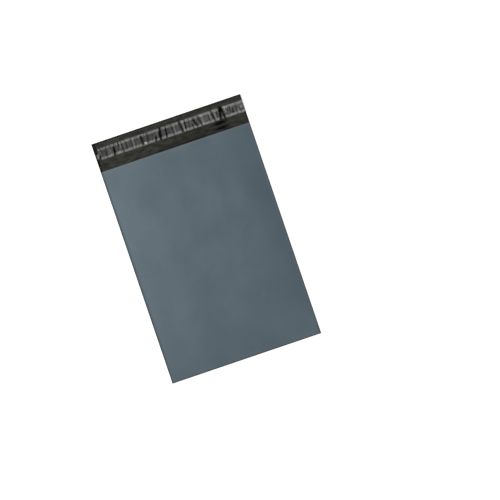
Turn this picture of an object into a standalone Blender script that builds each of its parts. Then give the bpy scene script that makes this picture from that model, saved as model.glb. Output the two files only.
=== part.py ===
"""Poly mailer bag, empty, lying on its back with the flap laid open.

One film makes the whole bag. It is folded along the bottom, welded along both
sides and left open at the mouth, where the back panel runs on as the flap.
A glue band crosses the flap, covered by a release liner that has buckled.
X is the width, Y runs from the bottom fold to the flap's free edge, Z is up.
"""

import math
from collections import namedtuple

import bmesh
import bpy

Row = namedtuple("Row", "y tops bottoms")
Wave = namedtuple("Wave", "across along start")

# Film
BAG_WIDTH = 0.250
POCKET_LENGTH = 0.355
FLAP_LENGTH = 0.047
FILM_GAUGE = 0.000075

# Side welds, and the gap between the panels where they leave a weld or the fold
WELD_WIDTH = 0.004
BEAD_WIDTH = 0.0008
BEAD_HEIGHT = 0.0001
ROOT_GAP = 0.00015

# Relaxed form of the empty pocket and of the flap
PUFF_HEIGHT = 0.010
LIP_HEIGHT = 0.008
LEFT_CROWN_POWER = 2.5
RIGHT_CROWN_POWER = 2.9
FOLD_RISE = 0.110
LIP_FALL = 0.140
DENT_DEPTH = 0.0005
DENT_PITCH = 0.080
FLAP_LIFT = 0.0012
FLAP_HINGE = 0.0015

# Dents of the front panel: two waves that cross, and a broader one under them
CROSSING_SHARE = 0.65
CROSSING_WAVES = (Wave(0.8, 0.5, 1.1), Wave(-0.6, 0.3, 0.4))
BROAD_WAVE = Wave(-0.35, 0.55, 2.3)

# Swelling of the front panel beside its right weld, flattened where the crown is below its edge
SWELLING_FROM_SIDE = 0.037
SWELLING_FROM_FOLD = 0.243
SWELLING_HALF_WIDTH = 0.022
SWELLING_HALF_LENGTH = 0.065
SWELLING_HEIGHT = 0.0015
SWELLING_EDGE = 0.15

# Pinched crease of the flap, midway between the mouth and the liner
CREASE_FROM_SIDE = 0.044
CREASE_HALF_LENGTH = 0.016
CREASE_HALF_WIDTH = 0.0035
CREASE_HEIGHT = 0.0006

# Release liner, placed from the flap's free edge and the bag's left side
LINER_WIDTH = 0.019
LINER_INSET = 0.010
LINER_START = 0.003
LINER_GAUGE = 0.00005
BUCKLE_HEIGHT = 0.0009
BUCKLE_LEAST = 0.2
BUCKLE_TURN = 2.4
BUCKLE_WIDTH = 0.0020
FLUTTER_HEIGHT = 0.0003
FLUTTER_LOW_PITCH = 0.013
FLUTTER_HIGH_PITCH = 0.0157

# Glue band under the liner, which leaves the liner dry margins to be lifted by
LINER_MARGIN = 0.0033
GLUE_END_MARGIN = 0.002
GLUE_THICKNESS = 0.0001
SEAT_GAP = 0.0001

# Fineness of the surfaces
COLUMNS = 32
POCKET_ROWS = 30
EDGE_CROWDING = 0.25
FOLD_STEPS = 3
LINER_STEP = 0.0015
MERGE_DISTANCE = 1e-7

# Where the liner's main buckles cross it, as shares of its length, and how each one slants
BUCKLES = (
    (0.115, 0.00),
    (0.152, 0.10),
    (0.248, 0.05),
    (0.305, -0.12),
    (0.395, 0.30),
    (0.430, 0.45),
    (0.470, -0.05),
    (0.515, 0.08),
    (0.570, 0.00),
    (0.604, -0.35),
    (0.662, 0.10),
    (0.700, 0.40),
    (0.785, 0.05),
    (0.833, -0.15),
    (0.854, 0.20),
)

# Places that follow from the sizes
SIDE_Y = (POCKET_LENGTH + FLAP_LENGTH) / 2
FOLD_Y = -SIDE_Y
MOUTH_Y = FOLD_Y + POCKET_LENGTH
FREE_Y = MOUTH_Y + FLAP_LENGTH
SIDE_X = BAG_WIDTH / 2
POCKET_X = SIDE_X - WELD_WIDTH
FOLD_RADIUS = FILM_GAUGE + ROOT_GAP / 2
LINER_TOP_Y = FREE_Y - LINER_INSET
LINER_LOW_Y = LINER_TOP_Y - LINER_WIDTH
LINER_X = -SIDE_X + LINER_START
GLUE_TOP_Y = LINER_TOP_Y - LINER_MARGIN
GLUE_LOW_Y = LINER_LOW_Y + LINER_MARGIN
SWELLING_X = SIDE_X - SWELLING_FROM_SIDE
SWELLING_Y = FOLD_Y + SWELLING_FROM_FOLD
CREASE_X = SIDE_X - CREASE_FROM_SIDE
CREASE_Y = (MOUTH_Y + LINER_LOW_Y) / 2


def smooth(share):
    """Ease from 0 to 1 as the share goes from 0 to 1."""
    share = min(1.0, max(0.0, share))
    return share * share * (3 - 2 * share)


def blend(start, end, share):
    return start + (end - start) * share


def hill(distance, width):
    """1 at the middle of a rounded ridge, fading to 0 either side of it."""
    return math.exp(-((distance / width) ** 2))


def wave(x, y, form):
    """A long wave across the film, from -1 to 1."""
    turn = 2 * math.pi / DENT_PITCH
    return math.sin(turn * (form.across * x + form.along * y) + form.start)


def dents(x, y):
    """Shallow soft dents of a film that has been folded and handled, from -1 to 1."""
    first, second = CROSSING_WAVES
    crossing = wave(x, y, first) * wave(x, y, second)
    return blend(wave(x, y, BROAD_WAVE), crossing, CROSSING_SHARE)


def swelling(x, y):
    """How far the front panel swells beside its right weld."""
    along = hill(y - SWELLING_Y, SWELLING_HALF_LENGTH)
    return SWELLING_HEIGHT * hill(x - SWELLING_X, SWELLING_HALF_WIDTH) * along


def pocket_gap(x, y):
    """Height of the space between the two panels of the pocket."""
    across = min(1.0, abs(x) / POCKET_X)
    power = LEFT_CROWN_POWER if x < 0 else RIGHT_CROWN_POWER
    crown = 1 - across**power
    from_fold = (y - FOLD_Y) / FOLD_RISE
    rise = 1 - (1 - min(1.0, max(0.0, from_fold))) ** 2
    ridge = blend(LIP_HEIGHT, PUFF_HEIGHT, smooth((MOUTH_Y - y) / LIP_FALL))
    pillow = (ridge - ROOT_GAP + DENT_DEPTH * dents(x, y)) * crown
    swollen = swelling(x, y) * min(1.0, crown / SWELLING_EDGE)
    return ROOT_GAP + (pillow + swollen) * rise


def bead(x):
    """Extra height of the thickened edge that hot cutting leaves along a weld."""
    inward = (SIDE_X - abs(x)) / BEAD_WIDTH
    return BEAD_HEIGHT * (1 - smooth(inward))


def panel_top(x, y):
    """Upper face of the front panel, down to where it lies welded on the back panel."""
    if abs(x) >= POCKET_X:
        settle = smooth((SIDE_X - BEAD_WIDTH - abs(x)) / (WELD_WIDTH - BEAD_WIDTH))
        return 2 * FILM_GAUGE + ROOT_GAP * settle + bead(x)
    return 2 * FILM_GAUGE + pocket_gap(x, y)


def flap_stations():
    """Rows of the flap: the hinge, the crease, the edges of liner and glue, and the free edge."""
    crease = [CREASE_Y + CREASE_HALF_WIDTH * share for share in (-1.0, -0.5, 0.0, 0.5, 1.0)]
    edges = [LINER_LOW_Y, GLUE_LOW_Y, GLUE_TOP_Y, LINER_TOP_Y, FREE_Y]
    return [MOUTH_Y, MOUTH_Y + FLAP_HINGE] + crease + edges


def flap_curl(y):
    """Height to which the flap's film has curled off the surface."""
    along = max(0.0, y - MOUTH_Y - FLAP_HINGE) / (FLAP_LENGTH - FLAP_HINGE)
    return FLAP_LIFT * along**2


def flap_rise(y):
    """Height of the flap's underside away from its crease, straight between the flap's rows."""
    rows = flap_stations()
    for low, high in zip(rows, rows[1:]):
        if y <= high:
            break
    share = (y - low) / (high - low)
    return blend(flap_curl(low), flap_curl(high), share)


def crease_lift(x, y):
    """How far the pinched crease lifts the flap's film."""
    across = smooth(1 - abs(x - CREASE_X) / CREASE_HALF_LENGTH)
    return CREASE_HEIGHT * across * smooth(1 - abs(y - CREASE_Y) / CREASE_HALF_WIDTH)


def pocket_columns():
    """Stations across the pocket, closer together towards the welds."""
    shares = [2 * column / COLUMNS - 1 for column in range(COLUMNS + 1)]
    return [POCKET_X * share * (1 + EDGE_CROWDING * (1 - share**2)) for share in shares]


def film_columns():
    """Stations across the whole film: the pocket's, with both welds and their beads."""
    weld = [SIDE_X, SIDE_X - BEAD_WIDTH / 2, SIDE_X - BEAD_WIDTH]
    return [-x for x in weld] + pocket_columns() + weld[::-1]


def fold_rows(columns, radius, start_y):
    """Rows round the bottom fold, whose section is a half circle of the given radius."""
    rows = []
    for step in range(FOLD_STEPS):
        angle = math.pi / 2 * step / FOLD_STEPS
        reach = radius * (1 - math.cos(angle))
        half = radius * math.sin(angle)
        tops = [FOLD_RADIUS + half for _ in columns]
        bottoms = [FOLD_RADIUS - half for _ in columns]
        rows.append(Row(start_y + reach, tops, bottoms))
    return rows


def pocket_stations(start_y):
    """Rows of the pocket from the end of the fold's curve to the mouth, closer by the fold."""
    length = MOUTH_Y - start_y
    shares = [row / POCKET_ROWS for row in range(POCKET_ROWS + 1)]
    return [start_y + length * share * (1 - EDGE_CROWDING * (1 - share)) for share in shares]


def film_rows(columns):
    """Rows of the film's outside: the fold, the pocket, the lip's cut edge and the flap."""
    rows = fold_rows(columns, FOLD_RADIUS, FOLD_Y)
    for y in pocket_stations(FOLD_Y + FOLD_RADIUS):
        rows.append(Row(y, [panel_top(x, y) for x in columns], [0.0 for _ in columns]))
    for y in flap_stations():
        bottoms = [flap_curl(y) + crease_lift(x, y) for x in columns]
        rows.append(Row(y, [height + FILM_GAUGE for height in bottoms], bottoms))
    return rows


def space_rows(columns):
    """Rows of the space in the pocket, which runs out over the flap through the mouth."""
    rows = fold_rows(columns, ROOT_GAP / 2, FOLD_Y + FILM_GAUGE)
    floor = [FILM_GAUGE for _ in columns]
    for y in pocket_stations(FOLD_Y + FOLD_RADIUS):
        rows.append(Row(y, [FILM_GAUGE + pocket_gap(x, y) for x in columns], floor))
    out_y = MOUTH_Y + FLAP_HINGE
    tops = [FILM_GAUGE + pocket_gap(x, MOUTH_Y) for x in columns]
    rows.append(Row(out_y, tops, [(low + high) / 2 for low, high in zip(floor, tops)]))
    return rows


def add_object(name, bm, collection):
    """A new object in the collection, with the mesh that was built."""
    mesh = bpy.data.meshes.new(name)
    bm.to_mesh(mesh)
    bm.free()
    new = bpy.data.objects.new(name, mesh)
    collection.objects.link(new)
    return new


def unit_grid(columns, rows):
    """A triangulated grid with a column of points for each station, two units wide."""
    bm = bmesh.new()
    bmesh.ops.create_grid(bm, x_segments=columns - 1, y_segments=rows - 1, size=1.0)
    bmesh.ops.triangulate(bm, faces=bm.faces[:], quad_method="FIXED")
    return bm


def place_in(co, count):
    """Which of the count stations a coordinate of the unit grid belongs to."""
    return round((co + 1) / 2 * (count - 1))


def lofted_solid(name, columns, rows, flat_level, collection):
    """A closed solid between the tops and the bottoms of its rows, flat at one level."""
    bm = unit_grid(len(columns), len(rows))
    extruded = bmesh.ops.extrude_face_region(bm, geom=bm.faces[:])["geom"]
    lower = {part for part in extruded if isinstance(part, bmesh.types.BMVert)}
    for vert in bm.verts:
        column = place_in(vert.co.x, len(columns))
        row = rows[place_in(vert.co.y, len(rows))]
        heights = row.bottoms if vert in lower else row.tops
        vert.co = (columns[column], row.y, heights[column])
    bmesh.ops.remove_doubles(bm, verts=bm.verts[:], dist=MERGE_DISTANCE)
    bmesh.ops.dissolve_degenerate(bm, edges=bm.edges[:], dist=MERGE_DISTANCE)
    bmesh.ops.recalc_face_normals(bm, faces=bm.faces[:])
    flat = [
        face
        for face in bm.faces
        if all(abs(vert.co.z - flat_level) < MERGE_DISTANCE for vert in face.verts)
        and face.normal.z < 0
    ]
    bmesh.ops.dissolve_faces(bm, faces=flat)
    return add_object(name, bm, collection)


def film_strip(name, columns, rows, height, gauge, collection):
    """A thin closed strip that lies at the given height and has the given gauge."""
    bm = unit_grid(len(columns), len(rows))
    for vert in bm.verts:
        x = columns[place_in(vert.co.x, len(columns))]
        y = rows[place_in(vert.co.y, len(rows))]
        vert.co = (x, y, height(x, y))
    strip = add_object(name, bm, collection)
    solidify = strip.modifiers.new("gauge", "SOLIDIFY")
    solidify.thickness = gauge
    solidify.offset = 1.0
    return strip


def material(name, colour, roughness, alpha=1.0):
    new = bpy.data.materials.new(name)
    new.use_nodes = True
    shader = new.node_tree.nodes["Principled BSDF"]
    shader.inputs["Base Color"].default_value = (*colour, 1.0)
    shader.inputs["Roughness"].default_value = roughness
    shader.inputs["Metallic"].default_value = 0.0
    shader.inputs["Alpha"].default_value = alpha
    return new


def make_mailer_film(parts, cutters):
    """The bag's film: its outside, less the space in the pocket."""
    columns = film_columns()
    film = lofted_solid("mailer_film", columns, film_rows(columns), 0.0, parts)
    columns = pocket_columns()
    space = lofted_solid("pocket_space", columns, space_rows(columns), FILM_GAUGE, cutters)
    space.hide_render = True
    space.display_type = "WIRE"
    cut = film.modifiers.new("pocket", "BOOLEAN")
    cut.operation = "DIFFERENCE"
    cut.solver = "EXACT"
    cut.object = space
    film.data.materials.append(material("grey_blue_film", (0.107, 0.143, 0.168), 0.42))


def glue_height(x, y):
    return flap_rise(y) + FILM_GAUGE + SEAT_GAP


def make_adhesive_strip(parts):
    """The band of hot-melt glue, short of both ends of the liner."""
    columns = [LINER_X + GLUE_END_MARGIN, SIDE_X - GLUE_END_MARGIN]
    rows = [GLUE_LOW_Y, GLUE_TOP_Y]
    glue = film_strip("adhesive_strip", columns, rows, glue_height, GLUE_THICKNESS, parts)
    glue.data.materials.append(material("hot_melt_glue", (0.022, 0.021, 0.018), 0.22))


def buckle(x, y):
    """How far the liner's buckles lift it off the glue. Their heights differ."""
    length = SIDE_X - LINER_X
    middle = (LINER_LOW_Y + LINER_TOP_Y) / 2
    lift = 0.0
    for number, (share, slant) in enumerate(BUCKLES):
        crest = LINER_X + length * share + slant * (y - middle)
        size = blend(BUCKLE_LEAST, 1.0, (1 + math.cos(BUCKLE_TURN * number)) / 2)
        lift = max(lift, BUCKLE_HEIGHT * size * hill(x - crest, BUCKLE_WIDTH))
    return lift


def ripple(x, pitch):
    """Short waves along a free edge, from 0 to 1."""
    return (1 + math.sin(2 * math.pi * x / pitch)) / 2


def flutter(x, y):
    """How far the liner's dry margins lift, in short waves along both long edges."""
    low = smooth((GLUE_LOW_Y - y) / LINER_MARGIN) * ripple(x, FLUTTER_LOW_PITCH)
    high = smooth((y - GLUE_TOP_Y) / LINER_MARGIN) * ripple(x, FLUTTER_HIGH_PITCH)
    return FLUTTER_HEIGHT * (low + high)


def liner_height(x, y):
    return glue_height(x, y) + GLUE_THICKNESS + SEAT_GAP + buckle(x, y) + flutter(x, y)


def make_release_liner(parts):
    """The peel-off liner over the glue, from near the left side to the right side."""
    length = SIDE_X - LINER_X
    steps = round(length / LINER_STEP)
    columns = [LINER_X + length * step / steps for step in range(steps + 1)]
    middle = (GLUE_LOW_Y + GLUE_TOP_Y) / 2
    rows = [LINER_LOW_Y, GLUE_LOW_Y, middle, GLUE_TOP_Y, LINER_TOP_Y]
    liner = film_strip("release_liner", columns, rows, liner_height, LINER_GAUGE, parts)
    liner.data.materials.append(material("silicone_liner", (0.22, 0.22, 0.215), 0.32, 0.60))


def new_collection(name):
    collection = bpy.data.collections.new(name)
    bpy.context.scene.collection.children.link(collection)
    return collection


def main():
    for old in list(bpy.data.objects):
        bpy.data.objects.remove(old, do_unlink=True)
    parts = new_collection("poly_mailer_bag")
    cutters = new_collection("cutters")
    make_mailer_film(parts, cutters)
    make_adhesive_strip(parts)
    make_release_liner(parts)


main()
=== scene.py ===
"""Poly mailer bag, empty and lying on its back: the looks of its film, glue band and liner."""

import math
from collections import namedtuple

import bmesh
import bpy
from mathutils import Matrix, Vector, noise


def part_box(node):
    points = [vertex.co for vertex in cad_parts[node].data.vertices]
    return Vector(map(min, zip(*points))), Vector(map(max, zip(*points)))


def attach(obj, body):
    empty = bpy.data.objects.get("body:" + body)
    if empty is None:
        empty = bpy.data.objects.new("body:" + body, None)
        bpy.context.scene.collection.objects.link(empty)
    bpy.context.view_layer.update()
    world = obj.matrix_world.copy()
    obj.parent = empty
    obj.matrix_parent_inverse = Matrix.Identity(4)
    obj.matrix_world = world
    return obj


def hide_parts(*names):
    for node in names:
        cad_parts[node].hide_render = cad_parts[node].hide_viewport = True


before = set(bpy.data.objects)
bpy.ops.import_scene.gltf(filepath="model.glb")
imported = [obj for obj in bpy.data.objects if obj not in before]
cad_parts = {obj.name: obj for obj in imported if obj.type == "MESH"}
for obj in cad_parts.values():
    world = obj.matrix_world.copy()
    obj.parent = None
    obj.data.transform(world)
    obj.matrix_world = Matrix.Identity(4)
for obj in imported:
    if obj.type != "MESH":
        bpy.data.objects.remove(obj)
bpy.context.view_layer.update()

# The bag's film is one coextruded polyethylene sheet, grey-blue outside and black inside. It is
# folded along the bottom and hot-welded along both sides, and the back panel runs on past the
# mouth as the flap. The empty front panel has relaxed into a low pillow with soft dents.
film_low, film_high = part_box("mailer_film")
side_x = film_high[0]
fold_y = film_low[1]
free_y = film_high[1]
flap_length = 0.047
mouth_y = free_y - flap_length
film_gauge = 0.000075
weld_width = 0.004
pocket_x = side_x - weld_width
root_gap = 0.00015
weld_gap = 0.00002
weld_settle = 0.001
fold_radius = (root_gap + film_gauge) / 2

# The pillow is a little lower at the lip than in its middle, and steepest to the right weld.
puff_height = 0.010
lip_height = 0.008
left_crown_power = 2.5
right_crown_power = 2.9
fold_rise = 0.110
lip_fall = 0.140

# Its dents are two slanting waves that cross, and a broad one. Each wave has its slant across and
# along the bag, and where it starts. The finer dents have a depth, a pitch and a seed each.
dent_depth = 0.0005
dent_pitch = 0.080
first_wave = (0.8, 0.5, 1.1)
second_wave = (-0.6, 0.3, 0.4)
broad_wave = (-0.35, 0.55, 2.3)
crossing_share = 0.65
fine_dents = ((0.00022, 0.034, 5.0), (0.00008, 0.013, 7.0))

swelling_from_side = 0.037
swelling_from_fold = 0.243
swelling_half_width = 0.022
swelling_half_length = 0.065
swelling_height = 0.0015
swelling_edge = 0.15

pucker_depth = 0.00006
pucker_pitch = 0.009
pucker_reach = 0.006
left_pucker_seed = 11.0
right_pucker_seed = 3.0

# Noise reaches only about 0.6 either way, so it is stretched to reach about 1.
noise_stretch = 1.6


def soft(share):
    """Ease from 0 to 1 as the share goes from 0 to 1."""
    share = min(1.0, max(0.0, share))
    return share * share * (3 - 2 * share)


def hill(distance, width):
    """1 at the middle of a rounded ridge, fading to 0 either side of it."""
    return math.exp(-((distance / width) ** 2))


def unevenness(x, y, pitch, seed):
    """Soft irregular waves of about the given pitch, from about -1 to 1."""
    return noise_stretch * noise.noise(Vector((x / pitch, y / pitch, seed)))


def dent_wave(x, y, wave):
    """One of the slanting waves that the dents are made of, from -1 to 1."""
    across, along, start = wave
    turn = 2 * math.pi / dent_pitch
    return math.sin(turn * (across * x + along * y) + start)


def panel_dents(x, y):
    """Shallow soft dents of a film that has been folded and handled."""
    crossing = dent_wave(x, y, first_wave) * dent_wave(x, y, second_wave)
    return crossing_share * crossing + (1 - crossing_share) * dent_wave(x, y, broad_wave)


def swelling(x, y):
    """A broad swelling beside the right weld, which makes the film steeper beyond it."""
    along = hill(y - fold_y - swelling_from_fold, swelling_half_length)
    return swelling_height * hill(x - side_x + swelling_from_side, swelling_half_width) * along


def weld_puckers(x, y):
    """Short faint ripples that run inward from the side welds, where the hot film shrank."""
    inward = max(0.0, pocket_x - abs(x))
    seed = right_pucker_seed if x > 0 else left_pucker_seed
    ripple = unevenness(0.0, y, pucker_pitch, seed)
    return ripple * inward / pucker_reach * math.exp(1 - inward / pucker_reach)


def pocket_gap(x, y):
    """Height of the space between the front panel and the back panel."""
    across = min(1.0, abs(x) / pocket_x)
    crown = 1 - across ** (left_crown_power if x < 0 else right_crown_power)
    from_fold = min(1.0, max(0.0, (y - fold_y) / fold_rise))
    rise = 1 - (1 - from_fold) ** 2
    ridge = lip_height + (puff_height - lip_height) * soft((mouth_y - y) / lip_fall)
    fine = sum(depth * unevenness(x, y, pitch, seed) for depth, pitch, seed in fine_dents)
    pillow = (ridge - root_gap + dent_depth * panel_dents(x, y) + fine) * crown
    relaxed = (pillow + swelling(x, y) * min(1.0, crown / swelling_edge)) * rise
    pucker = pucker_depth * weld_puckers(x, y) * rise
    return root_gap + relaxed + max(pucker, -relaxed)


def front_height(x, y):
    """Middle of the front panel's film, down to where it lies welded on the back panel."""
    if abs(x) < pocket_x:
        return 1.5 * film_gauge + pocket_gap(x, y)
    settle = soft((abs(x) - pocket_x) / weld_settle)
    return 1.5 * film_gauge + root_gap + (weld_gap - root_gap) * settle


# The flap is laid open. It curls up a little to its free edge, and near its right end it has been
# pinched into one short crease.
flap_lift = 0.0012
flap_hinge = 0.0015
flap_wave = 0.0001
flap_wave_pitch = 0.045
flap_wave_seed = 17.0
crease_x = side_x - 0.044
crease_y = mouth_y + 0.009
crease_half_length = 0.016
crease_half_width = 0.0035
crease_height = 0.0006

# The shades that are painted around the crease, each placed from its middle: the upper and the
# lower hollow beside the pinch, its crest, a nick above it, and the slope to the left of it.
Shade = namedtuple("Shade", "x y half_length half_width depth")
flap_shades = (
    Shade(-0.0010, 0.0044, 0.0125, 0.0030, 1.00),
    Shade(-0.0005, -0.0038, 0.0115, 0.0022, 0.92),
    Shade(0.0020, 0.0000, 0.0140, 0.0040, 0.22),
    Shade(0.0065, 0.0295, 0.0024, 0.0016, 0.65),
    Shade(-0.0390, 0.0000, 0.0220, 0.0120, 0.22),
)
shade_strength = 1.3


def along_flap(y):
    """How far along the flap a place is, from 0 at its hinge to 1 at its free edge."""
    return max(0.0, y - mouth_y - flap_hinge) / (flap_length - flap_hinge)


def flap_height(x, y):
    """Middle of the flap's film: a slight curl, slow waves and one pinched crease."""
    along = along_flap(y)
    curl = flap_lift * along**2
    wave = flap_wave * along * (1 + unevenness(x, y, flap_wave_pitch, flap_wave_seed))
    pinch = soft(1 - abs(x - crease_x) / crease_half_length)
    pinch *= soft(1 - abs(y - crease_y) / crease_half_width)
    return film_gauge / 2 + curl + wave + crease_height * pinch


def crease_shade(x, y):
    """How little light the flap gets in and around its crease, from 0 to 1."""
    deepest = max(
        shade.depth
        * hill(x - crease_x - shade.x, shade.half_length)
        * hill(y - crease_y - shade.y, shade.half_width)
        for shade in flap_shades
    )
    return min(1.0, shade_strength * deepest)


# How finely the film is divided: along it in each stretch, and across it.
flap_steps = 40
back_steps = 40
fold_steps = 8
front_steps = 170
weld_steps = 5
pocket_steps = 120


def spread(start, end, steps):
    """The places after the start, evenly spaced as far as the end."""
    return [start + (end - start) * (step + 1) / steps for step in range(steps)]


def film_path():
    """Stations along the film from the flap's free edge, round the fold, to the lip."""
    turn_y = fold_y + film_gauge / 2 + fold_radius
    path = [("flap", free_y)]
    path += [("flap", y) for y in spread(free_y, mouth_y, flap_steps)]
    path += [("back", y) for y in spread(mouth_y, turn_y, back_steps)]
    path += [("fold", turned_by) for turned_by in spread(0.0, math.pi, fold_steps)]
    path += [("front", y) for y in spread(turn_y, mouth_y, front_steps)]
    return path


def film_columns():
    """Stations across the film: its left edge and weld, the pocket, its right weld and edge."""
    columns = [-side_x] + spread(-side_x, -pocket_x, weld_steps)
    columns += spread(-pocket_x, pocket_x, pocket_steps)
    return columns + spread(pocket_x, side_x, weld_steps)


def film_point(x, station):
    """The middle of the film at one station of its path."""
    stretch, place = station
    if stretch == "flap":
        return (x, place, flap_height(x, place))
    if stretch == "back":
        return (x, place, film_gauge / 2)
    if stretch == "front":
        return (x, place, front_height(x, place))
    y = fold_y + film_gauge / 2 + fold_radius * (1 - math.sin(place))
    return (x, y, film_gauge / 2 + fold_radius * (1 - math.cos(place)))


def sheet_mesh(name, columns, rows, point):
    """An open sheet: a plain grid from -1 to 1, each of whose points is moved to its station."""
    sheet = bmesh.new()
    across, along = len(columns), len(rows)
    bmesh.ops.create_grid(sheet, x_segments=across - 1, y_segments=along - 1, size=1.0)
    for vert in sheet.verts:
        column = round((vert.co.x + 1) / 2 * (across - 1))
        row = round((vert.co.y + 1) / 2 * (along - 1))
        vert.co = point(columns[column], rows[row])
    mesh = bpy.data.meshes.new(name)
    sheet.to_mesh(mesh)
    sheet.free()
    return mesh


def paint(mesh, name, value_at):
    """A value painted on every point of a sheet, for its materials to read."""
    layer = mesh.attributes.new(name, "FLOAT", "POINT")
    for vertex, painted_value in zip(mesh.vertices, layer.data):
        painted_value.value = value_at(vertex.co)


cut_edge_angle = math.radians(60)


def thicken(name, mesh, gauge, materials, inner_slot=0):
    """The sheet as a closed film of its real gauge, smooth but for its cut edges."""
    open_sheet = bpy.data.objects.new(name + "_sheet", mesh)
    bpy.context.scene.collection.objects.link(open_sheet)
    for skin in materials:
        mesh.materials.append(skin)
    solid = open_sheet.modifiers.new("gauge", "SOLIDIFY")
    solid.thickness = gauge
    solid.offset = 0.0
    solid.material_offset = inner_slot
    solid.use_quality_normals = True
    depsgraph = bpy.context.evaluated_depsgraph_get()
    closed = bpy.data.meshes.new_from_object(open_sheet.evaluated_get(depsgraph))
    bpy.data.objects.remove(open_sheet, do_unlink=True)
    closed.name = name
    closed.shade_smooth()
    closed.set_sharp_from_angle(angle=cut_edge_angle)
    piece = bpy.data.objects.new(name, closed)
    bpy.context.scene.collection.objects.link(piece)
    return piece


def new_finish(name):
    """A material with its node tree, its shader and the piece's own coordinates."""
    finish = bpy.data.materials.new(name)
    finish.use_nodes = True
    nodes = finish.node_tree.nodes
    place = nodes.new("ShaderNodeTexCoord")
    return finish, finish.node_tree, nodes["Principled BSDF"], place.outputs["Object"]


def calculate(tree, operation, first, second=None, third=None, clamp=False):
    """A math node on sockets or numbers, and its output."""
    made = tree.nodes.new("ShaderNodeMath")
    made.operation = operation
    made.use_clamp = clamp
    for socket, value in zip(made.inputs, (first, second, third)):
        if value is None:
            continue
        if isinstance(value, (int, float)):
            socket.default_value = value
        else:
            tree.links.new(value, socket)
    return made.outputs[0]


def between(tree, value, low, high, at_low=0.0, at_high=1.0):
    """A value carried smoothly from one range to another."""
    made = tree.nodes.new("ShaderNodeMapRange")
    made.interpolation_type = "SMOOTHSTEP"
    tree.links.new(value, made.inputs["Value"])
    made.inputs["From Min"].default_value = low
    made.inputs["From Max"].default_value = high
    made.inputs["To Min"].default_value = at_low
    made.inputs["To Max"].default_value = at_high
    return made.outputs["Result"]


# A mix node has several sockets of the same name, so the ones for colours are taken by number.
mix_share = 0
mix_first = 6
mix_second = 7
mix_result = 2


def mix_colours(tree, share, first, second):
    """The first colour turning into the second as the share goes from 0 to 1."""
    made = tree.nodes.new("ShaderNodeMix")
    made.data_type = "RGBA"
    tree.links.new(share, made.inputs[mix_share])
    for number, colour in ((mix_first, first), (mix_second, second)):
        if isinstance(colour, tuple):
            made.inputs[number].default_value = (*colour, 1.0)
        else:
            tree.links.new(colour, made.inputs[number])
    return made.outputs[mix_result]


def layer_colours(tree, colour, layers):
    """The colour with each layer laid over it, by the layer's mask and its greatest strength."""
    for mask, strength, over in layers:
        colour = mix_colours(tree, calculate(tree, "MULTIPLY", mask, strength), colour, over)
    return colour


def strongest(tree, masks):
    """The greatest of several masks at each place."""
    most = masks[0]
    for mask in masks[1:]:
        most = calculate(tree, "MAXIMUM", most, mask)
    return most


def painted(tree, name):
    """The value of that name that was painted on the sheet's points."""
    layer = tree.nodes.new("ShaderNodeAttribute")
    layer.attribute_name = name
    return layer.outputs["Fac"]


def across_and_along(tree, place):
    """The piece's own coordinates across the bag and along it."""
    axes = tree.nodes.new("ShaderNodeSeparateXYZ")
    tree.links.new(place, axes.inputs[0])
    return axes.outputs["X"], axes.outputs["Y"]


def noise_over(tree, place, stretch, scale, detail=3.0, roughness=0.5):
    """Noise over the piece, stretched along its axes, from 0 to 1."""
    stretched = tree.nodes.new("ShaderNodeVectorMath")
    stretched.operation = "MULTIPLY"
    tree.links.new(place, stretched.inputs[0])
    stretched.inputs[1].default_value = stretch
    made = tree.nodes.new("ShaderNodeTexNoise")
    tree.links.new(stretched.outputs[0], made.inputs["Vector"])
    made.inputs["Scale"].default_value = scale
    made.inputs["Detail"].default_value = detail
    made.inputs["Roughness"].default_value = roughness
    return made.outputs["Fac"]


def new_effect(name, inputs, outputs):
    """A shader node group with the named inputs and outputs, and its two ends."""
    group = bpy.data.node_groups.new(name, "ShaderNodeTree")
    for socket, kind in inputs:
        group.interface.new_socket(name=socket, in_out="INPUT", socket_type=kind)
    for socket, kind in outputs:
        group.interface.new_socket(name=socket, in_out="OUTPUT", socket_type=kind)
    return group, group.nodes.new("NodeGroupInput"), group.nodes.new("NodeGroupOutput")


unstretched = (1.0, 1.0, 1.0)
die_line_stretch = (6.0, 700.0, 6.0)
dimple_stretch = (1.0, 0.7, 1.0)
scuff_stretch = (26.0, 150.0, 26.0)
scuff_low, scuff_high = 0.60, 0.78
dimple_height = 0.70
line_height = 0.10
grain_height = 0.05


def blown_film_effect():
    """Blown film's own surface: cloudy gauge, die lines across the bag, haze and scuffs."""
    group, given, result = new_effect(
        "blown_film",
        [("Place", "NodeSocketVector")],
        [("Cloud", "NodeSocketFloat"), ("Scuff", "NodeSocketFloat"), ("Height", "NodeSocketFloat")],
    )
    place = given.outputs["Place"]
    cloud = noise_over(group, place, unstretched, scale=16.0, detail=4.0, roughness=0.55)
    lines = noise_over(group, place, die_line_stretch, scale=1.0, detail=2.0)
    grain = noise_over(group, place, unstretched, scale=1500.0, detail=2.0)
    dimples = noise_over(group, place, dimple_stretch, scale=95.0)
    rubbed = noise_over(group, place, scuff_stretch, scale=1.0, detail=5.0, roughness=0.65)
    height = calculate(group, "MULTIPLY", dimples, dimple_height)
    height = calculate(group, "MULTIPLY_ADD", lines, line_height, height)
    height = calculate(group, "MULTIPLY_ADD", grain, grain_height, height)
    group.links.new(cloud, result.inputs["Cloud"])
    group.links.new(between(group, rubbed, scuff_low, scuff_high), result.inputs["Scuff"])
    group.links.new(height, result.inputs["Height"])
    return group


blown_film = blown_film_effect()


def place_effect(tree, group, place):
    """The effect placed in a material, reading the piece's own coordinates."""
    made = tree.nodes.new("ShaderNodeGroup")
    made.node_tree = group
    tree.links.new(place, made.inputs["Place"])
    return made.outputs


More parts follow.
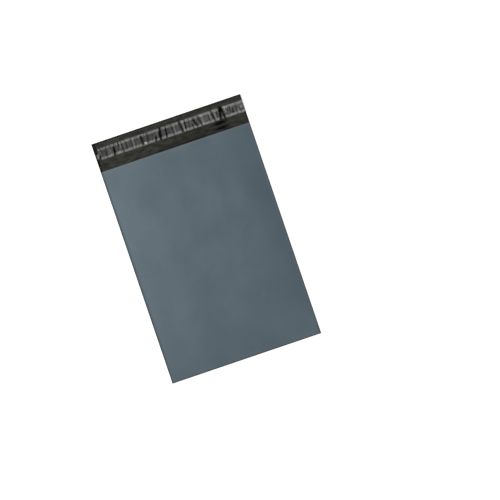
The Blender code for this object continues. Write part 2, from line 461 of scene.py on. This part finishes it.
def raise_surface(tree, shader, height, strength, distance):
    """Fine relief from a height, on the shader's normal."""
    relief = tree.nodes.new("ShaderNodeBump")
    relief.inputs["Strength"].default_value = strength
    relief.inputs["Distance"].default_value = distance
    tree.links.new(height, relief.inputs["Height"])
    tree.links.new(relief.outputs["Normal"], shader.inputs["Normal"])


# The colours of the film's outside.
deep_grey_blue = (0.098, 0.137, 0.164)
pale_grey_blue = (0.110, 0.152, 0.181)
# The colour of the painted shade on the lower left flank.
flank_shade_grey_blue = (0.091, 0.127, 0.151)
scuffed_grey = (0.160, 0.195, 0.220)
welded_grey = (0.088, 0.116, 0.136)
# The colour of the painted highlight along the lip.
lip_highlight_grey = (0.138, 0.166, 0.184)
lip_black = (0.020, 0.024, 0.026)
# The colour of the dark cut edges, also used for the painted shade along the fold.
cut_edge_and_fold_shade_black = (0.045, 0.050, 0.055)
cloud_low, cloud_high = 0.30, 0.70
scuff_dullness = 0.07
weld_gloss = 0.08

# How far in from an edge each of its marks is at its full strength, and how far in it fades out.
weld_blend = 0.0003
edge_full, edge_fade = 0.0010, 0.0022
lip_full, lip_fade = 0.0003, 0.0007
rim_full, rim_fade = 0.0022, 0.0050
flank_full, flank_fade = 0.013, 0.047

# The painted shade's places above the fold: its foot, the stretch where it is full, and its top.
flank_foot = 0.021
flank_full_from = 0.091
flank_full_to = 0.141
flank_top = 0.321
share_at_foot = 0.55


def left_flank_shade(tree, x, y):
    """The lower left side of the panel, where painted shade makes the film darker."""
    beside = between(tree, x, flank_fade - side_x, flank_full - side_x)
    under = between(tree, y, fold_y + flank_top, fold_y + flank_full_to)
    over = between(tree, y, fold_y + flank_foot, fold_y + flank_full_from, at_low=share_at_foot)
    return calculate(tree, "MULTIPLY", beside, calculate(tree, "MULTIPLY", under, over))


def outside_film():
    """Grey-blue satin film: glossier at its welds and dark at its cut edges, with painted shade
    along its fold and on its lower left flank, and a painted highlight along its lip.
    """
    finish, tree, shader, place = new_finish("grey_blue_film")
    film = place_effect(tree, blown_film, place)
    x, y = across_and_along(tree, place)
    front = painted(tree, "front")
    from_middle = calculate(tree, "ABSOLUTE", x)
    weld = between(tree, from_middle, pocket_x - weld_blend, pocket_x + weld_blend)
    side_edge = between(tree, from_middle, side_x - edge_fade, side_x - edge_full)
    fold_shade = between(tree, y, fold_y + edge_fade, fold_y + edge_full)
    lip_edge = between(tree, y, mouth_y - lip_fade, mouth_y - lip_full)
    lip_highlight = between(tree, y, mouth_y - rim_fade, mouth_y - rim_full)
    # Each layer is a mask, its greatest strength and its colour.
    layers = (
        # A painted shade on the lower left flank.
        (left_flank_shade(tree, x, y), 1.0, flank_shade_grey_blue),
        (film["Scuff"], 0.25, scuffed_grey),
        (weld, 0.35, welded_grey),
        # A painted highlight along the front panel's lip.
        (calculate(tree, "MULTIPLY", lip_highlight, front), 0.5, lip_highlight_grey),
        (calculate(tree, "MULTIPLY", lip_edge, front), 0.9, lip_black),
        # The welds' dark cut edges, and a painted shade along the rounded fold.
        (strongest(tree, (side_edge, fold_shade)), 0.75, cut_edge_and_fold_shade_black),
    )
    cloud = between(tree, film["Cloud"], cloud_low, cloud_high)
    cloudy = mix_colours(tree, cloud, deep_grey_blue, pale_grey_blue)
    tree.links.new(layer_colours(tree, cloudy, layers), shader.inputs["Base Color"])
    dull = between(tree, film["Cloud"], 0.25, 0.75, at_low=0.40, at_high=0.47)
    dull = calculate(tree, "MULTIPLY_ADD", film["Scuff"], scuff_dullness, dull)
    dull = calculate(tree, "MULTIPLY_ADD", weld, -weld_gloss, dull)
    tree.links.new(dull, shader.inputs["Roughness"])
    raise_surface(tree, shader, film["Height"], strength=0.35, distance=0.0004)
    return finish


# The colours of the film's inside.
deep_black = (0.0262, 0.0264, 0.0216)
pale_black = (0.0396, 0.0400, 0.0328)
patch_black = (0.0075, 0.0075, 0.0062)
unlit_black = (0.001, 0.001, 0.001)

# How far in from the flap's ends and free edge the painted shade is darkest, and how far in that fades
# out.
left_end_full, left_end_fade = 0.0022, 0.0050
right_end_full, right_end_fade = 0.0012, 0.0024
free_edge_full, free_edge_fade = 0.0006, 0.0026
end_strength = 0.85

# The painted corner shade at the liner's torn end, measured from the left side and from the free edge.
corner_full_x, corner_fade_x = 0.0050, 0.0072
corner_full_y, corner_fade_y = 0.017, 0.021
corner_strength = 0.62

# The shade that the raised lip throws on the flap, measured from the mouth and from its middle.
lip_shade_full_y, lip_shade_fade_y = 0.0005, 0.0055
lip_shade_full_x, lip_shade_fade_x = 0.045, 0.085
lip_shade_middle = 0.035
lip_shade_strength = 0.5

patch_stretch = (75.0, 190.0, 75.0)
patch_low, patch_high = 0.36, 0.62
inner_scuff_dullness = 0.08


def inside_shades(tree, x, y):
    """Where the black film gets little light, from 0 to 1."""
    left_full, left_fade = left_end_full - side_x, left_end_fade - side_x
    right_full, right_fade = side_x - right_end_full, side_x - right_end_fade
    rim_start, rim_end = free_y - free_edge_fade, free_y - free_edge_full
    corner = calculate(
        tree,
        "MULTIPLY",
        between(tree, x, corner_fade_x - side_x, corner_full_x - side_x),
        between(tree, y, free_y - corner_fade_y, free_y - corner_full_y),
    )
    from_shade = calculate(tree, "ABSOLUTE", calculate(tree, "SUBTRACT", x, lip_shade_middle))
    under_lip = calculate(
        tree,
        "MULTIPLY",
        between(tree, y, mouth_y + lip_shade_fade_y, mouth_y + lip_shade_full_y),
        between(tree, from_shade, lip_shade_fade_x, lip_shade_full_x),
    )
    return strongest(
        tree,
        (
            between(tree, x, left_fade, left_full, at_high=end_strength),
            between(tree, x, right_fade, right_full, at_high=end_strength),
            between(tree, y, rim_start, rim_end, at_high=end_strength),
            calculate(tree, "MULTIPLY", corner, corner_strength),
            calculate(tree, "MULTIPLY", under_lip, lip_shade_strength),
            # The painted shade around the flap's crease.
            painted(tree, "pinch"),
        ),
    )


def inside_film():
    """Black satin film, cloudy and patchy; painted shade in the crease, under the lip and at its edges.
    """
    finish, tree, shader, place = new_finish("black_film")
    film = place_effect(tree, blown_film, place)
    shade = inside_shades(tree, *across_and_along(tree, place))
    patches = noise_over(tree, place, patch_stretch, scale=1.0, detail=4.0, roughness=0.6)
    patch = between(tree, patches, patch_low, patch_high, at_low=1.0, at_high=0.0)
    cloud = between(tree, film["Cloud"], cloud_low, cloud_high)
    cloudy = mix_colours(tree, cloud, deep_black, pale_black)
    # Painted shade darkens the film toward unlit black.
    layers = ((patch, 0.62, patch_black), (shade, 0.95, unlit_black))
    tree.links.new(layer_colours(tree, cloudy, layers), shader.inputs["Base Color"])
    gleam = between(tree, patches, patch_low, patch_high, at_low=0.34, at_high=0.70)
    lit = calculate(tree, "SUBTRACT", 1.0, shade)
    tree.links.new(calculate(tree, "MULTIPLY", gleam, lit), shader.inputs["Coat Weight"])
    shader.inputs["Coat Roughness"].default_value = 0.45
    shader.inputs["Specular IOR Level"].default_value = 0.03
    dull = between(tree, film["Cloud"], 0.25, 0.75, at_low=0.42, at_high=0.52)
    dull = calculate(tree, "MULTIPLY_ADD", film["Scuff"], inner_scuff_dullness, dull)
    tree.links.new(dull, shader.inputs["Roughness"])
    raise_surface(tree, shader, film["Height"], strength=0.45, distance=0.0004)
    return finish


past_the_lip = 0.0001


def is_front(point):
    """1 on the front panel, which lies over the back panel as far as the lip, and 0 elsewhere."""
    return float(point.z > film_gauge and point.y < mouth_y + past_the_lip)


bag_mesh = sheet_mesh("bag_film", film_columns(), film_path(), film_point)
# The painted shade around the flap's crease is put on the film's points, for the black film.
paint(bag_mesh, "pinch", lambda point: crease_shade(point.x, point.y))
paint(bag_mesh, "front", is_front)
film_skins = [outside_film(), inside_film()]
bag_film = thicken("bag_film", bag_mesh, film_gauge, film_skins, inner_slot=1)
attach(bag_film, "root")
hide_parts("mailer_film")

# The glue is a band of clear hot melt, laid on the flap's black side as the bag is made. It stays
# tacky under the liner, so it looks wet and black, with faint lines from the nozzle that laid it.
glue_black = (0.010, 0.0098, 0.0088)
glue_line_black = (0.022, 0.021, 0.018)
nozzle_stretch = (12.0, 900.0, 12.0)
nozzle_line_height = 0.5


def tacky_glue():
    """Clear glue over black film, wet, pebbled and faintly lined along its length."""
    finish, tree, shader, place = new_finish("hot_melt_glue")
    pebbles = noise_over(tree, place, unstretched, scale=420.0, detail=2.0)
    nozzle = noise_over(tree, place, nozzle_stretch, scale=1.0, detail=2.0)
    lined = mix_colours(tree, between(tree, nozzle, 0.35, 0.70), glue_black, glue_line_black)
    tree.links.new(lined, shader.inputs["Base Color"])
    wet = between(tree, pebbles, 0.30, 0.70, at_low=0.14, at_high=0.30)
    tree.links.new(wet, shader.inputs["Roughness"])
    height = calculate(tree, "MULTIPLY_ADD", nozzle, nozzle_line_height, pebbles)
    raise_surface(tree, shader, height, strength=0.5, distance=0.0003)
    return finish


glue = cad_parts["adhesive_strip"]
glue.data.materials.clear()
glue.data.materials.append(tacky_glue())

# The liner is a thin silicone-coated film that peels off the glue. It has buckled across its
# width as the bag was handled: it looks milky where it has lifted, and clear and dark where it
# still lies down on the glue. Its creases carry painted shade and painted highlights. Its two
# long margins lie beside the glue and are lifted all along.
liner_from_free_edge = 0.0095
liner_top_y = free_y - liner_from_free_edge
liner_width = 0.0195
liner_low_y = liner_top_y - liner_width
liner_gauge = 0.00005
glue_and_gap = 0.0003
liner_seat = film_gauge + glue_and_gap
mm = 0.001
width_mm = liner_width / mm

# Each crease across the liner: its place at the upper and the lower edge, measured from the bag's
# left side, its half width, how strongly it shows (below 0 it is dark: clearer film with painted
# shade; above 0 it is milkier film with a painted highlight), and where it starts and ends,
# measured from the liner's upper edge. All but the strength are in millimetres.
Crease = namedtuple("Crease", "top bottom half_width strength start end")
creases = [
    Crease(*numbers)
    for numbers in (
        (6.8, 3.0, 1.3, 0.50, 8, 16),
        (3.4, 3.4, 3.0, -0.45, 14.5, 21),
        (10.5, 6.0, 1.2, -1.00, 10.5, 21),
        (8.0, 8.5, 1.0, 0.12, 5, 14),
        (9.8, 11.0, 1.0, -0.60, -1, 7),
        (12.3, 12.3, 0.8, -0.30, 14, 20),
        (15.3, 15.5, 0.7, -0.55, -1, 5),
        (17.6, 13.5, 0.8, 0.22, 0, 6),
        (20.2, 17.6, 1.6, -0.45, 0, 17),
        (17.6, 17.4, 1.4, -0.35, 13.5, 20),
        (25.5, 26.0, 2.4, 0.15, 5, 19),
        (27.2, 25.8, 1.0, -0.48, -1, 8),
        (33.4, 33.0, 1.4, -0.45, -1, 5),
        (33.2, 30.6, 1.6, -0.88, 4, 21),
        (33.0, 31.0, 1.6, -0.85, 8.0, 18.5),
        (39.0, 39.0, 1.2, 0.38, 14, 18.5),
        (40.9, 38.2, 0.9, -0.95, -1, 8),
        (43.4, 41.6, 0.9, 0.30, 2, 13),
        (45.6, 45.6, 1.2, -0.50, 0, 20),
        (46.4, 46.4, 1.2, -0.35, 13, 20),
        (48.8, 48.6, 1.2, 0.12, 0, 19),
        (54.0, 51.5, 1.3, -0.40, 3, 17),
        (62.0, 61.0, 1.1, -0.45, 0, 19),
        (64.6, 64.4, 1.0, 0.38, 3, 17),
        (67.8, 67.5, 0.8, -0.30, 5, 16),
        (70.6, 71.4, 0.8, -0.25, -1, 8),
        (78.3, 78.6, 1.6, -0.90, 2, 19),
        (82.4, 83.0, 1.6, 0.85, 13.5, 18.5),
        (84.0, 84.2, 0.7, -0.30, -1, 7),
        (88.8, 86.8, 1.2, -0.60, 0, 19),
        (97.0, 97.0, 0.8, -0.20, 5, 9),
        (105.0, 104.6, 1.0, 0.28, 3, 14),
        (104.8, 99.2, 1.4, -1.00, 9.5, 21),
        (111.3, 107.9, 1.8, -1.00, -1, 21),
        (109.6, 107.3, 2.0, -0.85, 6, 16),
        (115.5, 115.0, 0.7, -0.40, 1, 12),
        (120.6, 118.2, 1.2, -0.45, -1, 21),
        (120.3, 118.1, 1.25, -1.00, 3, 18.5),
        (124.6, 123.6, 0.7, -0.20, 0, 18),
        (129.0, 130.2, 1.4, -0.50, 0, 19),
        (133.6, 133.4, 1.0, 0.33, 3, 16),
        (136.6, 136.6, 0.8, -0.35, 3, 16),
        (143.2, 145.4, 1.7, -0.90, -1, 20),
        (148.4, 148.6, 1.2, 0.38, 0, 19),
        (151.8, 151.0, 1.0, -0.45, -1, 20),
        (152.0, 150.6, 1.2, -0.75, 3.5, 16.5),
        (158.2, 156.8, 0.9, -0.45, 0, 18),
        (162.0, 162.8, 0.9, -0.75, 10, 20),
        (166.4, 166.4, 1.6, -0.45, -1, 5),
        (164.2, 170.8, 1.9, -0.85, 3.5, 17.5),
        (169.8, 169.8, 1.0, -0.60, 15, 20),
        (169.8, 172.5, 1.0, 0.22, 2, 14),
        (173.6, 177.4, 1.1, -0.70, 0, 20),
        (180.8, 180.0, 1.1, 0.40, 1, 17),
        (184.4, 184.4, 3.0, 0.10, 6, 14),
        (190.5, 191.4, 1.0, -0.40, 4, 19),
        (192.0, 194.6, 0.9, 0.42, 3, 15),
        (196.4, 199.6, 1.3, -0.75, -1, 20),
        (201.6, 201.6, 1.0, 0.42, 3, 16),
        (204.8, 203.8, 1.2, -0.45, 4, 10),
        (207.0, 206.8, 0.8, 0.22, 3, 9),
        (211.0, 208.4, 1.9, -1.00, -1, 21),
        (213.8, 215.9, 1.5, -1.00, -1, 21),
        (214.9, 215.3, 1.2, -0.50, 13.5, 20),
        (212.3, 212.3, 3.0, -1.00, -2, 8.5),
        (212.5, 212.3, 1.6, -0.40, 8, 21),
        (219.2, 219.8, 1.3, 0.30, 0, 12),
        (222.8, 221.8, 1.0, -0.62, 5, 10),
        (222.5, 222.5, 5.0, -0.18, 11, 16),
        (226.9, 227.6, 1.2, -0.58, 1.5, 12),
        (229.2, 228.2, 0.7, 0.22, 3, 12),
        (232.4, 229.6, 1.5, -0.68, 7, 16),
        (229.4, 228.8, 1.3, -0.35, 10.5, 14.5),
        (237.2, 237.0, 1.2, -0.40, -1, 20),
        (240.0, 239.5, 1.2, 0.28, 10, 18),
        (242.8, 242.4, 1.0, -0.30, 9, 17),
        (254.9, 236.9, 1.0, 0.36, 7, 13),
        (245.2, 244.8, 1.1, -0.40, 12, 17),
        (246.2, 246.2, 2.6, 0.18, 5, 12.5),
    )
]
crease_end_fade = 1.5

# The milky margins, in millimetres down the liner: where each starts and how fast it comes in,
# and where it ends and how fast it goes.
upper_margin = (-0.05, 1.2, 5.2, 1.6)
lower_margin = (14.4, 1.6, width_mm + 0.3, 1.2)

# How milky the liner is over the glue, and how much its margins, its bright creases with their
# painted highlights and its unevenness add. It is lifted more to the right: how much milkier each
# rise makes it, where the rise starts and over how many millimetres it goes.
glue_haze = 0.215
margin_haze = 0.235
margin_average = 0.98
margin_unevenness = 0.40
bright_crease_haze_and_highlight = 0.55
streak_haze = 0.08
fine_haze = 0.10
rises = ((0.03, 90, 60), (0.02, 214, 8))


def stretch_from(place, start, fade_in, end, fade_out):
    """1 from a start to an end, coming in softly after the one and going before the other."""
    return soft((place - start) / fade_in) * soft((end - place) / fade_out)


def liner_place(x, y):
    """Millimetres from the bag's left side, and down from the liner's upper edge."""
    return (x + side_x) / mm, (liner_top_y - y) / mm


def liner_noise(across, down, pitch_across, pitch_down, seed):
    """Soft irregular waves over the liner, of the given pitches in millimetres."""
    return noise.noise(Vector((across / pitch_across, down / pitch_down, seed)))


def crease_share(crease, across, down):
    """How much of a crease shows at a place, from 0 to 1."""
    middle = crease.top + (crease.bottom - crease.top) * down / width_mm
    ends = stretch_from(down, crease.start, crease_end_fade, crease.end, crease_end_fade)
    return hill(across - middle, crease.half_width) * ends


def liner_haze_and_light(x, y):
    """How milky the liner is at a place: 0 where a crease hides the light, 1 where it shines."""
    across, down = liner_place(x, y)
    margin = max(stretch_from(down, *upper_margin), stretch_from(down, *lower_margin))
    blotches = liner_noise(across, down, pitch_across=2.4, pitch_down=3.5, seed=1.0)
    uneven = margin_average + margin_unevenness * blotches
    streaks = streak_haze * liner_noise(across, down, pitch_across=2.2, pitch_down=16.0, seed=4.0)
    fine = fine_haze * liner_noise(across, down, pitch_across=0.9, pitch_down=2.6, seed=6.0)
    lifted = sum(more * soft((across - start) / length) for more, start, length in rises)
    haze_and_crease_light = glue_haze + margin_haze * margin * uneven + streaks + fine + lifted
    for crease in creases:
        share = crease_share(crease, across, down)
        if crease.strength > 0:
            haze_and_crease_light += bright_crease_haze_and_highlight * crease.strength * share
        else:
            haze_and_crease_light *= 1 + crease.strength * share
    return min(1.0, max(0.0, haze_and_crease_light))


# How high the liner stands: clear of the flap's waves, fluttering along its margins, up over its
# dark creases, and finely uneven all over.
wave_clearance = 0.00005
flutter_height = 0.00018
flutter_reach_mm = 2.4
flutter_unevenness = 1.2
ridge_height = 0.00055
fine_height = 0.00003


def liner_height(x, y):
    """Middle of the liner's film, over the flap and the glue."""
    across, down = liner_place(x, y)
    lift = flap_lift * along_flap(y) ** 2 + wave_clearance
    margin = max(hill(down, flutter_reach_mm), hill(down - width_mm, flutter_reach_mm))
    ripples = liner_noise(across, down, pitch_across=6.0, pitch_down=12.0, seed=2.0)
    flutter = flutter_height * margin * (1 + flutter_unevenness * ripples)
    ridge = max(-crease.strength * crease_share(crease, across, down) for crease in creases)
    ridge = ridge_height * max(0.0, ridge)
    grain = liner_noise(across, down, pitch_across=0.9, pitch_down=7.0, seed=4.0)
    rise = flutter + ridge + fine_height * (1 + grain)
    return lift + liner_seat + liner_gauge / 2 + rise


# The torn left end, in millimetres: how far the liner is cut back from the bag's left side, how
# far its tongue comes out again and where, and how much more its low corner is cut back.
torn_back = 6.3
tongue_length = 4.6
tongue_stretch = (8.0, 2.0, 18.3, 1.5)
corner_cut = 1.8
corner_start = 17.0
corner_fade = 1.5
ragged_depth = 0.5


def liner_left(y):
    """The torn left end of the liner: a tongue near the bag's side, cut back at both edges."""
    _, down = liner_place(0.0, y)
    tongue = stretch_from(down, *tongue_stretch)
    corner = soft((down - corner_start) / corner_fade)
    ragged = liner_noise(down, 0.0, pitch_across=2.0, pitch_down=1.0, seed=8.0)
    back = torn_back - tongue_length * tongue + corner_cut * corner + ragged_depth * ragged
    return -side_x + back * mm


def liner_point(share, y):
    """A point of the liner, by its share of the length between its torn end and its cut end."""
    left = liner_left(y)
    x = left + (side_x - left) * share
    return (x, y, liner_height(x, y))


streak_stretch = (900.0, 140.0, 140.0)
# The liner runs from clear film with painted crease shade to milky film with painted highlights.
clear_and_shaded_black = (0.001, 0.001, 0.001)
milky_and_highlight_white = (0.68, 0.68, 0.665)
streak_share = 0.22
milk_power = 1.35


def milky_liner():
    """Clear film that turns milky where it has lifted, glossy with a fine silicone pebble.

    Its creases carry painted shade and painted highlights.
    """
    finish, tree, shader, place = new_finish("silicone_liner")
    streaks = noise_over(tree, place, streak_stretch, scale=1.0)
    haze_and_crease_light = calculate(tree, "MULTIPLY_ADD", streaks, streak_share, painted(tree, "haze_and_crease_light"))
    haze_and_crease_light = calculate(tree, "SUBTRACT", haze_and_crease_light, streak_share / 2, clamp=True)
    milk = calculate(tree, "POWER", haze_and_crease_light, milk_power)
    tree.links.new(mix_colours(tree, milk, clear_and_shaded_black, milky_and_highlight_white), shader.inputs["Base Color"])
    opaque = between(tree, haze_and_crease_light, 0.0, 0.7, at_low=0.62, at_high=0.94)
    tree.links.new(opaque, shader.inputs["Alpha"])
    dull = between(tree, haze_and_crease_light, 0.0, 1.0, at_low=0.26, at_high=0.38)
    tree.links.new(dull, shader.inputs["Roughness"])
    gleam = between(tree, haze_and_crease_light, 0.02, 0.25, at_low=0.0, at_high=0.60)
    tree.links.new(gleam, shader.inputs["Coat Weight"])
    shader.inputs["Coat Roughness"].default_value = 0.32
    shader.inputs["Specular IOR Level"].default_value = 0.05
    raise_surface(tree, shader, streaks, strength=0.35, distance=0.0003)
    return finish


columns_along_liner = 400
rows_across_liner = 32
liner_columns = [0.0] + spread(0.0, 1.0, columns_along_liner)
liner_rows = [liner_low_y] + spread(liner_low_y, liner_top_y, rows_across_liner)
liner_sheet = sheet_mesh("liner_film", liner_columns, liner_rows, liner_point)
paint(liner_sheet, "haze_and_crease_light", lambda point: liner_haze_and_light(point.x, point.y))
liner_film = thicken("liner_film", liner_sheet, liner_gauge, [milky_liner()])
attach(liner_film, "root")
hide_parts("release_liner")

# The bag lies on a plain white floor, under a broad soft light from the left and a weaker one
# from above the picture. The floor shows white to the camera and keeps the bag's soft shadow.

# How far the bag is turned in the picture, and the place on the floor at the picture's middle.
turned = math.radians(18.779)
picture_right = Vector((math.cos(turned), -math.sin(turned), 0.0))
picture_up = Vector((math.sin(turned), math.cos(turned), 0.0))
picture_middle = Vector((0.06024, -0.03925, 0.0))
picture_width = 0.7957
floor_size = 12.0
floor_drop = 0.0002
floor_white = (0.86, 0.86, 0.86, 1.0)
floor_lift = 0.44


def white_floor():
    """A matte floor that reads as white paper to the camera, apart from shadows on it."""
    finish, tree, shader, _ = new_finish("white_floor")
    shader.inputs["Base Color"].default_value = floor_white
    shader.inputs["Roughness"].default_value = 0.9
    seen = tree.nodes.new("ShaderNodeLightPath")
    looked_at = calculate(tree, "MAXIMUM", seen.outputs["Is Camera Ray"], seen.outputs["Is Glossy Ray"])
    looked_at = calculate(tree, "MAXIMUM", looked_at, seen.outputs["Is Transmission Ray"])
    lift = tree.nodes.new("ShaderNodeEmission")
    tree.links.new(calculate(tree, "MULTIPLY", looked_at, floor_lift), lift.inputs["Strength"])
    both = tree.nodes.new("ShaderNodeAddShader")
    tree.links.new(shader.outputs["BSDF"], both.inputs[0])
    tree.links.new(lift.outputs["Emission"], both.inputs[1])
    tree.links.new(both.outputs["Shader"], tree.nodes["Material Output"].inputs["Surface"])
    return finish


bpy.ops.mesh.primitive_plane_add(size=floor_size, location=(0.0, 0.0, -floor_drop))
floor = bpy.context.object
floor.name = "floor"
floor.data.materials.append(white_floor())


def soft_light(name, side, upward, height, size, power):
    """A square area light at a place seen from the camera, turned to the bag."""
    light = bpy.data.lights.new(name, "AREA")
    light.shape = "SQUARE"
    light.size = size
    light.energy = power
    lamp = bpy.data.objects.new(name, light)
    lamp.location = side * picture_right + upward * picture_up + Vector((0.0, 0.0, height))
    lamp.rotation_euler = (-lamp.location).to_track_quat("-Z", "Y").to_euler()
    bpy.context.scene.collection.objects.link(lamp)


soft_light("window", side=-3.4, upward=0.25, height=2.4, size=1.9, power=150.0)
soft_light("fill", side=-0.2, upward=1.6, height=1.5, size=1.2, power=3.0)

sky_white = (1.0, 1.0, 1.0, 1.0)
sky_strength = 0.352
sky = bpy.data.worlds.new("studio")
bpy.context.scene.world = sky
sky.use_nodes = True
sky.node_tree.nodes["Background"].inputs["Color"].default_value = sky_white
sky.node_tree.nodes["Background"].inputs["Strength"].default_value = sky_strength

focal_length = 300.0
sensor_width = 36.0
lens = bpy.data.cameras.new("camera")
lens.lens = focal_length
lens.sensor_width = sensor_width
camera_height = picture_width * focal_length / sensor_width
camera = bpy.data.objects.new("camera", lens)
camera.location = picture_middle + Vector((0.0, 0.0, camera_height))
camera.rotation_euler = (0.0, 0.0, -turned)
bpy.context.scene.collection.objects.link(camera)
bpy.context.scene.camera = camera
bpy.context.scene.view_settings.view_transform = "Standard"
